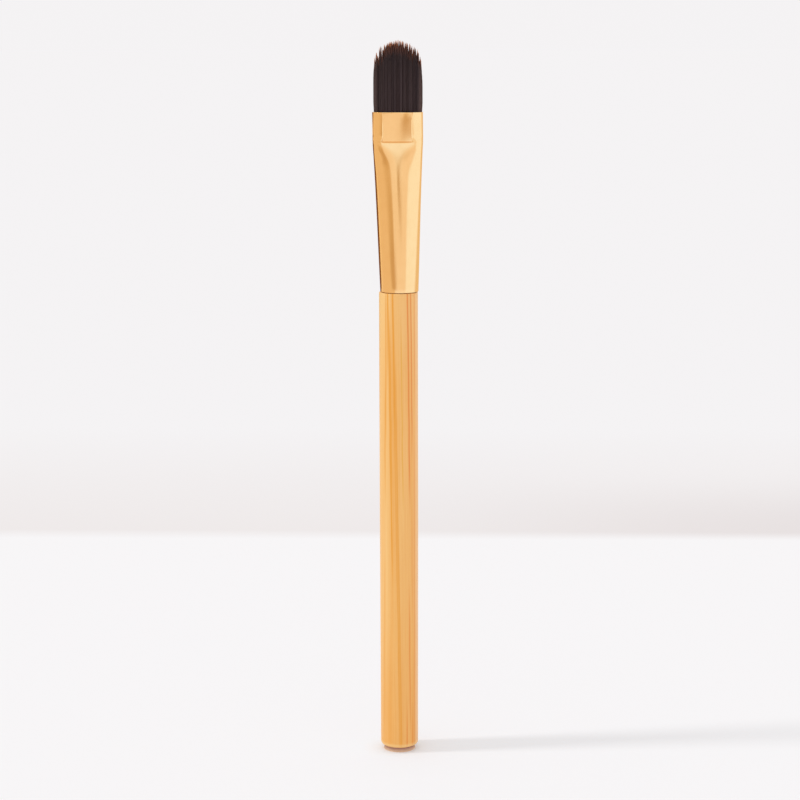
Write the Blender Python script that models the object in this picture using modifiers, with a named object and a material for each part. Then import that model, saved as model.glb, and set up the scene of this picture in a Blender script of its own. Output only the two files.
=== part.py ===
import math
import random

import bmesh
import bpy
from mathutils import Vector

# Concealer brush: a bamboo handle, a pressed metal ferrule and a flat tuft with a round top.
# It stands on the flat end of its handle at the origin, its tip is up, and one broad face of
# the ferrule looks along -Y. All lengths are in metres.

# Handle
HANDLE_LENGTH = 0.1076
HANDLE_TOP_RADIUS = 0.00443
HANDLE_MIDDLE_RADIUS = 0.00439
HANDLE_END_RADIUS = 0.00432
END_ROUNDING = 0.0008
SHOULDER_ROUNDING = 0.00015

# Tenon, which the ferrule is glued to
TENON_LENGTH = 0.0100
TENON_CHAMFER = 0.0005
GLUE_SPACE = 0.00045
GROOVE_COUNT = 2
GROOVE_WIDTH = 0.0012
GROOVE_DEPTH = 0.0003

# Ferrule
FERRULE_LENGTH = 0.0405
FERRULE_WALL = 0.0003
FERRULE_ROOT_RADIUS = 0.00435
MOUTH_HALF_WIDTH = 0.00572
STEP_HALF_DEPTH = 0.0024
MOUTH_FLARE = 0.00031
WIDEST_AT = 0.0342
SIDE_HOLLOW = 0.45
KNEE_SOFTNESS = 0.06

# Squareness of the ferrule's section: 2 is an ellipse, more is squarer
TUBE_POWER = 1.9
STEP_POWER = 4.0
MOUTH_POWER = 2.2
SQUARE_REACH = 0.0026

# Panels pressed into the broad faces at the mouth, and the swell below each
PANEL_HEIGHT = 0.0068
PANEL_HALF_WIDTH = 0.00328
PANEL_FLARE = 0.0003
PANEL_PRESS = 0.00062
PANEL_LEAN = 0.00026
PANEL_DISH = 0.00032
BORDER_WIDTH = 0.00016
STEP_HEIGHT = 0.0005
SWELL_DROP = 0.00015
SWELL_REACH = 0.0024

# Tuft
TUFT_LENGTH = 0.0159
TIP_DOME = 0.0065
BELLY_HALF_WIDTH = 0.00549
BELLY_HALF_DEPTH = 0.00195
TIP_HALF_DEPTH = 0.0006
FACE_DROP = 0.0009
LENGTH_SCATTER = 0.00025
BELLY_AT = 0.30
BELLY_NARROWING = 0.86
DRAWN_AT = 0.7
DRAWN_NARROWING = 0.77
STRAND_COLUMNS = 36
STRAND_ROWS = 11
ROW_STAGGER = 0.5
ROOT_SCATTER = 0.00003
ROOT_SINK = 0.0003
SLICE_THICKNESS = 0.0010

# Roots inside the ferrule
PLUG_FOOT = 0.0014
PLUG_CHAMFER = 0.0006
THREAD_DIAMETER = 0.0005
THREAD_TURNS = 4
THREAD_PITCH = 0.0010

# Clearances
SEAM_GAP = 0.00015
FIT_GAP = 0.0001
THREAD_GAP = 0.00015

# Fineness of the surfaces
RING_POINTS = 48
CAP_POINTS = 6
FLAT_POINTS = 5
TUBE_RINGS = 7
SWELL_RINGS = (2.4, 1.6, 1.0, 0.6, 0.3)
STEP_RINGS = 3
PANEL_RINGS = (0.08, 0.17, 0.5, 1)
LOOP_POINTS = 36
ROUNDING_STEPS = 4
SHARP_ANGLE = 30

# Heights that follow from the sizes above
FERRULE_Z = HANDLE_LENGTH + SEAM_GAP
MOUTH_Z = FERRULE_Z + FERRULE_LENGTH
STEP_AT = FERRULE_LENGTH - PANEL_HEIGHT
SLICE_TOP_Z = MOUTH_Z - ROOT_SINK
PLUG_TOP_Z = SLICE_TOP_Z - SLICE_THICKNESS - FIT_GAP


def mix(low, high, share):
    return low + (high - low) * share


def smooth(low, high, value):
    """0 below low, 1 above high and an even curve between."""
    share = min(max((value - low) / (high - low), 0), 1)
    return share * share * (3 - 2 * share)


def soft_least(first, second, softness):
    """The lesser of two values, rounded where they cross."""
    near = max(softness - abs(first - second), 0) / softness
    return min(first, second) - near * near * softness / 4


# Ferrule's form. A height here is measured up from the ferrule's lower end.

def half_width(height):
    """The sides are slightly hollow up to the widest place, and run straight from there."""
    share = height / WIDEST_AT
    hollow = share - SIDE_HOLLOW * share * share * (1 - share)
    return mix(FERRULE_ROOT_RADIUS, MOUTH_HALF_WIDTH, soft_least(hollow, 1, KNEE_SOFTNESS))


def half_depth(height):
    """The broad faces draw in to the step, swell there and flare to the mouth."""
    below = max(STEP_AT - height, 0)
    above = max(height - STEP_AT, 0)
    line = mix(STEP_HALF_DEPTH + SWELL_DROP, FERRULE_ROOT_RADIUS, below / STEP_AT)
    swell = SWELL_DROP * math.exp(-below / SWELL_REACH)
    return line - swell + MOUTH_FLARE * above / PANEL_HEIGHT


def section_power(height):
    below = max(STEP_AT - height, 0)
    tube = mix(2, TUBE_POWER, smooth(0, STEP_AT / 2, height))
    step = (STEP_POWER - TUBE_POWER) * math.exp(-(below / SQUARE_REACH) ** 2)
    mouth = (STEP_POWER - MOUTH_POWER) * smooth(STEP_AT, STEP_AT + PANEL_HEIGHT / 5, height)
    return tube + step - mouth


def face_depth(across, height, inset):
    """Depth of the drawn tube's broad face, moved in by inset."""
    power = section_power(height)
    out = min(abs(across) / (half_width(height) - inset), 1)
    return (half_depth(height) - inset) * (1 - out ** power) ** (1 / power)


def panel_border(rise):
    """Half width of the panel at a share of its height: a little wider at its corners."""
    return PANEL_HALF_WIDTH + PANEL_FLARE * (2 * rise - 1) ** 4


def panel_depth(across, rise):
    """Depth of the panel: a shallow dish that leans out towards the mouth."""
    middle = STEP_HALF_DEPTH - PANEL_PRESS + PANEL_LEAN * rise
    return middle + PANEL_DISH * min((across / panel_border(rise)) ** 2, 1)


def ferrule_depth(across, height, inset):
    """Depth at a place on the broad face, with the pressed panel, its border and its step."""
    face = face_depth(across, height, inset)
    rise = min(max((height - STEP_AT) / PANEL_HEIGHT, 0), 1)
    edge = BORDER_WIDTH / 2
    border = panel_border(rise)
    inside = 1 - smooth(border - edge, border + edge, abs(across))
    pressed = smooth(STEP_AT - STEP_HEIGHT / 2, STEP_AT + STEP_HEIGHT / 2, height)
    return mix(face, panel_depth(across, rise) - inset, inside * pressed)


def ferrule_place(across, side, height, inset):
    """A point of the ferrule's surface, moved in by inset. Side is 1 at the back, -1 at the front."""
    return Vector((across, side * ferrule_depth(across, height, inset), FERRULE_Z + height))


def ferrule_point(angle, height, inset):
    across = (half_width(height) - inset) * math.cos(angle)
    return ferrule_place(across, math.copysign(1, math.sin(angle)), height, inset)


def quarter_across(height, inset):
    """Places across a ring, from its narrow side over the panel's border to the middle."""
    half = half_width(height) - inset
    rise = min(max((height - STEP_AT) / PANEL_HEIGHT, 0), 1)
    border = panel_border(rise) * min(half_width(height) / half_width(STEP_AT), 1)
    outer = math.acos((border + BORDER_WIDTH / 2) / half)
    cap = [half * math.cos(outer * i / CAP_POINTS) for i in range(CAP_POINTS + 1)]
    inner = border - BORDER_WIDTH / 2
    return cap + [inner * (1 - i / FLAT_POINTS) for i in range(FLAT_POINTS + 1)]


def ferrule_ring(height, inset):
    quarter = quarter_across(height, inset)
    back = quarter + [-across for across in reversed(quarter[:-1])]
    ring = [ferrule_place(across, 1, height, inset) for across in back]
    return ring + [ferrule_place(across, -1, height, inset) for across in reversed(back[1:-1])]


def ferrule_levels():
    """Heights of the rings, close together where the form turns."""
    swell = [STEP_AT - SWELL_REACH * reach for reach in SWELL_RINGS]
    tube = [swell[0] * i / TUBE_RINGS for i in range(TUBE_RINGS)]
    step = [STEP_AT + STEP_HEIGHT * (i / STEP_RINGS - 0.5) for i in range(STEP_RINGS + 1)]
    panel = [mix(step[-1], FERRULE_LENGTH, share) for share in PANEL_RINGS]
    return tube + swell + step + panel


def ferrule_levels_between(low, high):
    """The two ends, and the ferrule's own ring heights that lie between them."""
    inner = [height for height in ferrule_levels() if low + FIT_GAP < height < high - FIT_GAP]
    return [low] + inner + [high]


# Tenon's form, shared by the handle and the adhesive round it

def tenon_radius(z):
    """The tenon tapers as the inside of the ferrule does."""
    root = half_depth(0) - FERRULE_WALL - GLUE_SPACE
    end = half_depth(TENON_LENGTH) - FERRULE_WALL - GLUE_SPACE
    return mix(root, end, (z - HANDLE_LENGTH) / TENON_LENGTH)


def tenon_side(low_z, high_z):
    """(radius, z) down the side of the tenon, with its glue grooves."""
    side = [(tenon_radius(high_z), high_z)]
    for i in reversed(range(GROOVE_COUNT)):
        middle = HANDLE_LENGTH + TENON_LENGTH * (i + 1) / (GROOVE_COUNT + 1)
        for offset, depth in ((0.5, 0), (0.2, GROOVE_DEPTH), (-0.2, GROOVE_DEPTH), (-0.5, 0)):
            z = middle + offset * GROOVE_WIDTH
            side.append((tenon_radius(z) - depth, z))
    side.append((tenon_radius(low_z), low_z))
    return side


# Making objects

def principled(name, colour, roughness, metallic=0.0):
    material = bpy.data.materials.new(name)
    material.use_nodes = True
    shader = material.node_tree.nodes["Principled BSDF"]
    shader.inputs["Base Color"].default_value = (*colour, 1)
    shader.inputs["Roughness"].default_value = roughness
    shader.inputs["Metallic"].default_value = metallic
    material.diffuse_color = (*colour, 1)
    return material


def finish_object(name, mesh, collection, material):
    obj = bpy.data.objects.new(name, mesh)
    collection.objects.link(obj)
    mesh.materials.append(material)
    mesh.shade_smooth()
    mesh.set_sharp_from_angle(angle=math.radians(SHARP_ANGLE))
    return obj


def turned(name, profile, collection, material):
    """A solid of revolution: profile is (radius, z) from its top down to its bottom."""
    mesh = bpy.data.meshes.new(name)
    edges = [(i, i + 1) for i in range(len(profile) - 1)]
    mesh.from_pydata([(radius, 0, z) for radius, z in profile], edges, [])
    obj = finish_object(name, mesh, collection, material)
    screw = obj.modifiers.new("Turn", "SCREW")
    screw.steps = RING_POINTS
    screw.render_steps = RING_POINTS
    screw.use_merge_vertices = True
    screw.merge_threshold = 0.00001
    screw.use_smooth_shade = True
    return obj


def loft(name, rings, collection, material, hollow):
    """A skin through rings of equal point counts. A hollow one runs back to its first ring."""
    bm = bmesh.new()
    loops = [[bm.verts.new(point) for point in ring] for ring in rings]
    pairs = list(zip(loops, loops[1:]))
    if hollow:
        pairs.append((loops[-1], loops[0]))
    else:
        bm.faces.new(loops[0])
        bm.faces.new(loops[-1])
    for low, high in pairs:
        for i in range(len(low)):
            j = (i + 1) % len(low)
            bm.faces.new((low[i], low[j], high[j], high[i]))
    bmesh.ops.recalc_face_normals(bm, faces=bm.faces)
    mesh = bpy.data.meshes.new(name)
    bm.to_mesh(mesh)
    bm.free()
    return finish_object(name, mesh, collection, material)


# Pieces

def make_handle(collection):
    """Turned bamboo: tenon, square shoulder, slightly tapered grip and a flat rounded foot."""
    top_z = HANDLE_LENGTH + TENON_LENGTH
    chamfer_z = top_z - TENON_CHAMFER
    profile = [(0, top_z), (tenon_radius(top_z) - TENON_CHAMFER, top_z)]
    profile += tenon_side(HANDLE_LENGTH, chamfer_z)
    profile.append((HANDLE_TOP_RADIUS - SHOULDER_ROUNDING, HANDLE_LENGTH))
    profile.append((HANDLE_TOP_RADIUS, HANDLE_LENGTH - SHOULDER_ROUNDING))
    profile.append((HANDLE_MIDDLE_RADIUS, HANDLE_LENGTH / 2))
    for i in range(ROUNDING_STEPS + 1):
        turn = math.pi / 2 * i / ROUNDING_STEPS
        radius = HANDLE_END_RADIUS - END_ROUNDING * (1 - math.cos(turn))
        profile.append((radius, END_ROUNDING * (1 - math.sin(turn))))
    profile.append((0, 0))
    material = principled("bamboo", (0.80, 0.49, 0.20), 0.38)
    return turned("bamboo_handle", profile, collection, material)


def make_ferrule(collection):
    """A thin tube: up its outside, over the rim and down its inside."""
    levels = ferrule_levels()
    outside = [ferrule_ring(height, 0) for height in levels]
    inside = [ferrule_ring(height, FERRULE_WALL) for height in reversed(levels)]
    material = principled("gold_metal", (0.86, 0.58, 0.27), 0.22, 1.0)
    return loft("ferrule", outside + inside, collection, material, hollow=True)


def make_tenon_glue(collection):
    """Cured adhesive between tenon and ferrule. It fills the glue grooves."""
    low_z = FERRULE_Z + FIT_GAP
    high_z = HANDLE_LENGTH + TENON_LENGTH - TENON_CHAMFER
    heights = ferrule_levels_between(low_z - FERRULE_Z, high_z - FERRULE_Z)
    rings = [ferrule_ring(height, FERRULE_WALL + FIT_GAP) for height in heights]
    outwards = [Vector((point.x, point.y, 0)).normalized() for point in rings[0]]
    for radius, z in tenon_side(low_z, high_z):
        rings.append([way * (radius + FIT_GAP) + Vector((0, 0, z)) for way in outwards])
    material = principled("adhesive", (0.75, 0.62, 0.36), 0.35)
    return loft("tenon_glue", rings, collection, material, hollow=True)


def waist_span():
    """Lowest and highest height of the plug's waist under the swell, which the thread is wound in."""
    high = STEP_AT - SWELL_REACH
    return high - THREAD_TURNS * THREAD_PITCH - THREAD_DIAMETER - 2 * THREAD_GAP, high


def make_plug(collection):
    """Cured resin with the filament roots in it, drawn in at the waist by the thread."""
    top = PLUG_TOP_Z - FERRULE_Z
    waist_low, waist_high = waist_span()
    bottom = waist_low - PLUG_FOOT
    skin = FERRULE_WALL + FIT_GAP
    waist_inset = skin + THREAD_DIAMETER + 2 * THREAD_GAP
    rings = [ferrule_ring(bottom, skin + PLUG_CHAMFER)]
    rings += [ferrule_ring(h, skin) for h in ferrule_levels_between(bottom + PLUG_CHAMFER, waist_low)]
    rings += [ferrule_ring(h, waist_inset) for h in ferrule_levels_between(waist_low, waist_high)]
    rings += [ferrule_ring(h, skin) for h in ferrule_levels_between(waist_high, top)]
    material = principled("resin", (0.42, 0.30, 0.17), 0.30)
    return loft("resin_plug", rings, collection, material, hollow=False)


def make_thread(collection):
    """One thread wound round the waist of the roots, its two ends straight."""
    low, high = waist_span()
    start = low + THREAD_GAP + THREAD_DIAMETER / 2
    inset = FERRULE_WALL + FIT_GAP + THREAD_GAP + THREAD_DIAMETER / 2
    steps = THREAD_TURNS * LOOP_POINTS
    path = []
    for i in range(steps + 1):
        angle = math.pi / 2 + math.tau * i / LOOP_POINTS
        path.append(ferrule_point(angle, start + THREAD_PITCH * i / LOOP_POINTS, inset))
    path.insert(0, path[0] + Vector((THREAD_DIAMETER, 0, 0)))
    path.append(path[-1] - Vector((THREAD_DIAMETER, 0, 0)))

    apart = range(len(path) - LOOP_POINTS // 2)
    nearest = min((path[i] - path[j]).length for i in apart for j in range(i + LOOP_POINTS // 2, len(path)))
    print(f"Least gap between the thread's turns: {(nearest - THREAD_DIAMETER) * 1000:.2f} mm")

    curve = bpy.data.curves.new("binding_thread", "CURVE")
    curve.dimensions = "3D"
    curve.bevel_depth = THREAD_DIAMETER / 2
    curve.bevel_resolution = 1
    curve.use_fill_caps = True
    spline = curve.splines.new("POLY")
    spline.points.add(len(path) - 1)
    for point, place in zip(spline.points, path):
        point.co = (*place, 1)
    curve.materials.append(principled("cotton_thread", (0.78, 0.74, 0.66), 0.85))
    obj = bpy.data.objects.new("binding_thread", curve)
    collection.objects.link(obj)
    return obj


# Tuft. Every strand stands on one triangle of a grid that covers the mouth of the ferrule.

ROOT_SKIN = FERRULE_WALL + FIT_GAP
ROOT_AT = PLUG_TOP_Z - FERRULE_Z
ROOT_REACH = panel_depth(0, (ROOT_AT - STEP_AT) / PANEL_HEIGHT) - ROOT_SKIN


def root_half_width(depth):
    """Half the width of the tuft at this depth, inside the ferrule's mouth."""
    power = section_power(ROOT_AT)
    share = abs(depth) / (half_depth(ROOT_AT) - ROOT_SKIN)
    return (half_width(ROOT_AT) - ROOT_SKIN) * (1 - share ** power) ** (1 / power)


def strand_place(root, share, length):
    """Where a strand's axis is at a share of its length: it spreads to the belly, then draws in."""
    belly = BELLY_HALF_DEPTH / ROOT_REACH
    tip = TIP_HALF_DEPTH / ROOT_REACH
    spread = min(share / BELLY_AT, 1)
    draw = max(share - BELLY_AT, 0) / (1 - BELLY_AT)
    wider = mix(1, BELLY_HALF_WIDTH / root_half_width(0), spread)
    deeper = mix(mix(1, belly, spread), tip, draw)
    return Vector((root.x * wider, root.y * deeper, SLICE_TOP_Z + length * share))


def strand_length(root, scatter):
    """The tips follow a half ellipse across the tuft, and the outer layers end lower."""
    across = min(abs(root.x) / root_half_width(0), 1)
    dome = TIP_DOME * (1 - math.sqrt(1 - across * across))
    drop = FACE_DROP * (root.y / ROOT_REACH) ** 2
    return ROOT_SINK + TUFT_LENGTH - dome - drop - LENGTH_SCATTER * scatter


def root_slice(bm, scatter):
    """The slice of roots: a grid on top, shaped to the mouth, and one flat face below."""
    bmesh.ops.create_grid(bm, x_segments=STRAND_COLUMNS, y_segments=STRAND_ROWS, size=1)
    for vert in bm.verts:
        row = round((vert.co.y + 1) / 2 * STRAND_ROWS)
        y = vert.co.y * ROOT_REACH
        x = vert.co.x * root_half_width(y)
        if not vert.is_boundary:
            x += (-1) ** row * ROW_STAGGER * root_half_width(y) / STRAND_COLUMNS
            x += ROOT_SCATTER * scatter.uniform(-1, 1)
            y += ROOT_SCATTER * scatter.uniform(-1, 1)
        vert.co = Vector((x, y, SLICE_TOP_Z))
    cells = list(bm.faces)
    rim = [edge for edge in bm.edges if edge.is_boundary]
    walls = bmesh.ops.extrude_edge_only(bm, edges=rim)["geom"]
    lower = [item for item in walls if isinstance(item, bmesh.types.BMVert)]
    bmesh.ops.translate(bm, verts=lower, vec=(0, 0, -SLICE_THICKNESS))
    bmesh.ops.edgeloop_fill(bm, edges=[edge for edge in bm.edges if edge.is_boundary])
    return cells


def make_tuft(collection):
    """Tapered three-sided strands that grow out of a slice of resin-soaked roots."""
    scatter = random.Random(7)
    bm = bmesh.new()
    number = bm.faces.layers.int.new("number")
    cells = root_slice(bm, scatter)
    for i, cell in enumerate(cells):
        cell[number] = i
    halves = bmesh.ops.triangulate(bm, faces=cells, quad_method="FIXED")["faces"]
    halves.sort(key=lambda face: -abs(face.calc_center_median().y))
    outer_half = {}
    for face in halves:
        outer_half.setdefault(face[number], face)

    strands = {}
    for i, face in sorted(outer_half.items()):
        root = face.calc_center_median()
        strands[i] = (root, strand_length(root, scatter.random()))
    faces = list(outer_half.values())
    for share, narrowing in ((BELLY_AT, BELLY_NARROWING), (DRAWN_AT, DRAWN_NARROWING)):
        faces = bmesh.ops.extrude_discrete_faces(bm, faces=faces)["faces"]
        for face in faces:
            middle = face.calc_center_median()
            root, length = strands[face[number]]
            place = strand_place(root, share, length)
            for vert in face.verts:
                vert.co = place + (vert.co - middle) * narrowing
    for vert in bmesh.ops.poke(bm, faces=faces)["verts"]:
        root, length = strands[vert.link_faces[0][number]]
        vert.co = strand_place(root, 1, length)

    bmesh.ops.recalc_face_normals(bm, faces=bm.faces)
    mesh = bpy.data.meshes.new("bristle_tuft")
    bm.to_mesh(mesh)
    bm.free()
    material = principled("bristle", (0.035, 0.024, 0.022), 0.45)
    return finish_object("bristle_tuft", mesh, collection, material)


def main():
    for obj in list(bpy.data.objects):
        bpy.data.objects.remove(obj)
    collection = bpy.data.collections.new("concealer_brush")
    bpy.context.scene.collection.children.link(collection)
    make_handle(collection)
    make_tenon_glue(collection)
    make_ferrule(collection)
    make_plug(collection)
    make_thread(collection)
    make_tuft(collection)


main()
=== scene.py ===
import math
import random

import bmesh
import bpy
from mathutils import Matrix, Vector


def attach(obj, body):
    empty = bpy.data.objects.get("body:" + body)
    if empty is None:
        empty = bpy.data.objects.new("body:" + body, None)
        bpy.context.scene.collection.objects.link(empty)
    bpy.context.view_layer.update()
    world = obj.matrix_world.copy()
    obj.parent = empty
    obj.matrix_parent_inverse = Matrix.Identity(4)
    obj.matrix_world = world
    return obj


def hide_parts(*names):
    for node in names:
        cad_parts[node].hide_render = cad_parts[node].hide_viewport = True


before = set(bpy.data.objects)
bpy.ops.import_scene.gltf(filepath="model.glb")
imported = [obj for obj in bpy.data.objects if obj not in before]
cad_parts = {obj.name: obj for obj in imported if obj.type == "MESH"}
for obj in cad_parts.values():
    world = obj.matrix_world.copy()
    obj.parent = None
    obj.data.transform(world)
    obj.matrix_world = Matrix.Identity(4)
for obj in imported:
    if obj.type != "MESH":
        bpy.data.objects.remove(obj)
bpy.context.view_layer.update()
print("frame loaded:", ", ".join(sorted(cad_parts)))


def mix(low, high, share):
    return low + (high - low) * share


def smooth(low, high, value):
    share = min(max((value - low) / (high - low), 0), 1)
    return share * share * (3 - 2 * share)


def softLeast(first, second, softness):  # the lesser of two, rounded where they cross
    near = max(softness - abs(first - second), 0) / softness
    return min(first, second) - near * near * softness / 4


def fromScreen(red, green, blue):  # a screen colour, 0 to 255, as the shader wants it
    return tuple((c / 255 / 12.92) if c < 10.3 else ((c / 255 + 0.055) / 1.055) ** 2.4
                 for c in (red, green, blue)) + (1,)


# Camera, where the photographer's stood: a little to the right of the broad face
camera = {"side": 0.00029, "away": 0.470, "up": 0.16462, "turn": 2.5, "down": 9.91, "roll": -0.14,
          "lens": 93.2}


def makeCamera():
    data = bpy.data.cameras.new("camera")
    data.lens = camera["lens"]
    data.sensor_width = 36
    data.clip_start = 0.01
    data.clip_end = 100
    obj = bpy.data.objects.new("camera", data)
    turn = Matrix.Rotation(math.radians(camera["turn"]), 4, "Z")
    tilt = Matrix.Rotation(math.radians(90 - camera["down"]), 4, "X")
    roll = Matrix.Rotation(math.radians(camera["roll"]), 4, "Z")
    obj.location = turn @ Vector((camera["side"], -camera["away"], camera["up"]))
    obj.rotation_euler = (turn @ tilt @ roll).to_euler()
    bpy.context.scene.collection.objects.link(obj)
    bpy.context.scene.camera = obj


# Shader helpers
def feedInputs(tree, node, inputs):  # a socket's output is linked, anything else is a fixed value
    for key, value in inputs.items():
        if isinstance(value, bpy.types.NodeSocket):
            tree.links.new(value, node.inputs[key])
        else:
            node.inputs[key].default_value = value


def addNode(tree, kind, inputs=None, **settings):
    node = tree.nodes.new("ShaderNode" + kind)
    for key, value in settings.items():
        setattr(node, key, value)
    feedInputs(tree, node, inputs or {})
    return node


def maths(tree, operation, *values, clamp=False):
    node = addNode(tree, "Math", dict(enumerate(values)), operation=operation, use_clamp=clamp)
    return node.outputs[0]


def remap(tree, value, low, high, start=0, end=1, curve="SMOOTHSTEP"):
    node = addNode(tree, "MapRange", {"Value": value, "From Min": low, "From Max": high,
                                      "To Min": start, "To Max": end}, interpolation_type=curve)
    return node.outputs[0]


def scaleColour(tree, colour, scale):
    return addNode(tree, "VectorMath", {0: colour, "Scale": scale}, operation="SCALE").outputs[0]


def multiplyColours(tree, first, second):
    return addNode(tree, "VectorMath", {0: first, 1: second}, operation="MULTIPLY").outputs[0]


def blendColours(tree, share, first, second):
    node = addNode(tree, "Mix", {0: share, 6: first, 7: second}, data_type="RGBA")
    return node.outputs[2]


def colourRamp(tree, value, reach, stops):
    low, high = reach
    ramp = addNode(tree, "ValToRGB", {0: remap(tree, value, low, high, curve="LINEAR")})
    elements = ramp.color_ramp.elements
    while len(elements) > 1:
        elements.remove(elements[-1])
    for i, (at, colour) in enumerate(stops):
        element = elements[0] if i == 0 else elements.new((at - low) / (high - low))
        element.position = (at - low) / (high - low)
        element.color = colour
    return ramp.outputs[0]


def lightRamp(tree, value, reach, stops):  # a ramp's colours stop at 1, so it runs at half its light
    halved = [(at, (*(part / 2 for part in light), 1)) for at, light in stops]
    return scaleColour(tree, colourRamp(tree, value, reach, halved), 2)


def newGroup(name, inputs, outputs):
    tree = bpy.data.node_groups.new(name, "ShaderNodeTree")
    for label, value in inputs.items():
        socket = tree.interface.new_socket(name=label, in_out="INPUT", socket_type="NodeSocketFloat")
        socket.default_value = value
    for label in outputs:
        tree.interface.new_socket(name=label, in_out="OUTPUT", socket_type="NodeSocketFloat")
    given = tree.nodes.new("NodeGroupInput").outputs
    wanted = tree.nodes.new("NodeGroupOutput").inputs
    return tree, given, wanted


def useGroup(tree, group, **inputs):
    node = tree.nodes.new("ShaderNodeGroup")
    node.node_tree = group
    feedInputs(tree, node, inputs)
    return node.outputs


def newMaterial(name, **constants):  # constants go on the shader's own sockets
    material = bpy.data.materials.new(name)
    material.use_nodes = True
    shader = material.node_tree.nodes["Principled BSDF"]
    for key, value in constants.items():
        shader.inputs[key].default_value = value
    return material, material.node_tree, shader


# Groups that several materials share
def makeCompass():  # degrees round the upright axis from the front, and height in millimetres
    tree, given, wanted = newGroup("compass", {}, ["Angle", "Height"])
    place = addNode(tree, "SeparateXYZ", {0: addNode(tree, "TexCoord").outputs["Object"]}).outputs
    front = maths(tree, "MULTIPLY", place["Y"], -1)
    turn = maths(tree, "ARCTAN2", place["X"], front)
    tree.links.new(maths(tree, "DEGREES", turn), wanted["Angle"])
    tree.links.new(maths(tree, "MULTIPLY", place["Z"], 1000), wanted["Height"])
    return tree


def spreadNoise(tree, noise, soft):  # stretches the middle of a noise, more so when it is less soft
    low = maths(tree, "SUBTRACT", 0.5, soft)
    high = maths(tree, "ADD", 0.5, soft)
    return remap(tree, noise, low, high, curve="LINEAR")


def makeLongGrain():  # noise drawn out along the piece; Across and Along are grains to the millimetre
    tree, given, wanted = newGroup(
        "longGrain", {"Across": 4, "Along": 0.05, "Soft": 0.15, "Seed": 0}, ["Grain"])
    place = addNode(tree, "TexCoord").outputs["Object"]
    across = maths(tree, "MULTIPLY", given["Across"], 1000)
    along = maths(tree, "MULTIPLY", given["Along"], 1000)
    scale = addNode(tree, "CombineXYZ", {"X": across, "Y": across, "Z": along}).outputs[0]
    moved = addNode(tree, "Mapping", {"Vector": place, "Scale": scale}).outputs[0]
    noise = addNode(tree, "TexNoise", {"Vector": moved, "W": given["Seed"], "Scale": 1, "Detail": 3,
                                       "Roughness": 0.6}, noise_dimensions="4D").outputs[0]
    tree.links.new(spreadNoise(tree, noise, given["Soft"]), wanted["Grain"])
    return tree


def makeMottle():  # soft even patches
    tree, given, wanted = newGroup("mottle", {"Size": 1.0, "Soft": 0.2}, ["Patch"])
    place = addNode(tree, "TexCoord").outputs["Object"]
    scale = maths(tree, "DIVIDE", 1000, given["Size"])
    noise = addNode(tree, "TexNoise", {"Vector": place, "Scale": scale, "Detail": 4}).outputs[0]
    tree.links.new(spreadNoise(tree, noise, given["Soft"]), wanted["Patch"])
    return tree


streakWander = 5  # how far a streak strays from its line, in degrees
streakFade = 7  # how softly its ends fade, in millimetres


def makeFibreStreak():  # one long streak: where it is in degrees, its slant per 100 mm, its ends
    tree, given, wanted = newGroup(
        "fibreStreak", {"Angle": 0, "Height": 0, "At": 0, "Slant": 0, "Width": 3, "Low": 0,
                        "High": 100}, ["Mask"])
    wander = addNode(tree, "TexNoise", {"W": maths(tree, "MULTIPLY", given["Height"], 0.05),
                                        "Scale": 1, "Detail": 2}, noise_dimensions="1D").outputs[0]
    drift = maths(tree, "MULTIPLY", maths(tree, "SUBTRACT", wander, 0.5), streakWander)
    lean = maths(tree, "MULTIPLY", given["Slant"], maths(tree, "DIVIDE", given["Height"], 100))
    middle = maths(tree, "ADD", maths(tree, "ADD", given["At"], lean), drift)
    away = maths(tree, "ABSOLUTE", maths(tree, "SUBTRACT", given["Angle"], middle))
    near = remap(tree, maths(tree, "DIVIDE", away, given["Width"]), 1, 0)
    start = remap(tree, given["Height"], maths(tree, "SUBTRACT", given["Low"], streakFade),
                  maths(tree, "ADD", given["Low"], streakFade))
    end = remap(tree, given["Height"], maths(tree, "ADD", given["High"], streakFade),
                maths(tree, "SUBTRACT", given["High"], streakFade))
    mask = maths(tree, "MULTIPLY", maths(tree, "MULTIPLY", near, start), end)
    tree.links.new(mask, wanted["Mask"])
    return tree


def makeWindow():  # 1 between two soft edges, 0 outside them
    tree, given, wanted = newGroup(
        "window", {"Value": 0, "RiseFrom": -1, "RiseTo": 0, "FallFrom": 1, "FallTo": 2}, ["Mask"])
    rise = remap(tree, given["Value"], given["RiseFrom"], given["RiseTo"])
    fall = remap(tree, given["Value"], given["FallTo"], given["FallFrom"])
    tree.links.new(maths(tree, "MULTIPLY", rise, fall), wanted["Mask"])
    return tree


compass = makeCompass()
longGrain = makeLongGrain()
mottle = makeMottle()
fibreStreak = makeFibreStreak()
window = makeWindow()
print("shader groups made")


def windowMask(tree, value, band):  # a band is where it rises, from and to, and where it falls
    (riseFrom, riseTo), (fallFrom, fallTo) = band
    return useGroup(tree, window, Value=value, RiseFrom=riseFrom, RiseTo=riseTo, FallFrom=fallFrom,
                    FallTo=fallTo)["Mask"]


def addObject(name, bm, material):
    mesh = bpy.data.meshes.new(name)
    bm.to_mesh(mesh)
    bm.free()
    obj = bpy.data.objects.new(name, mesh)
    bpy.context.scene.collection.objects.link(obj)
    mesh.materials.append(material)
    return obj


def finishPiece(name, bm, material, replaced, sharpAngle):
    piece = addObject(name, bm, material)
    piece.data.shade_smooth()
    piece.data.set_sharp_from_angle(angle=math.radians(sharpAngle))
    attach(piece, "root")
    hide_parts(replaced)
    print("made", name, "with", len(piece.data.polygons), "faces")


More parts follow.
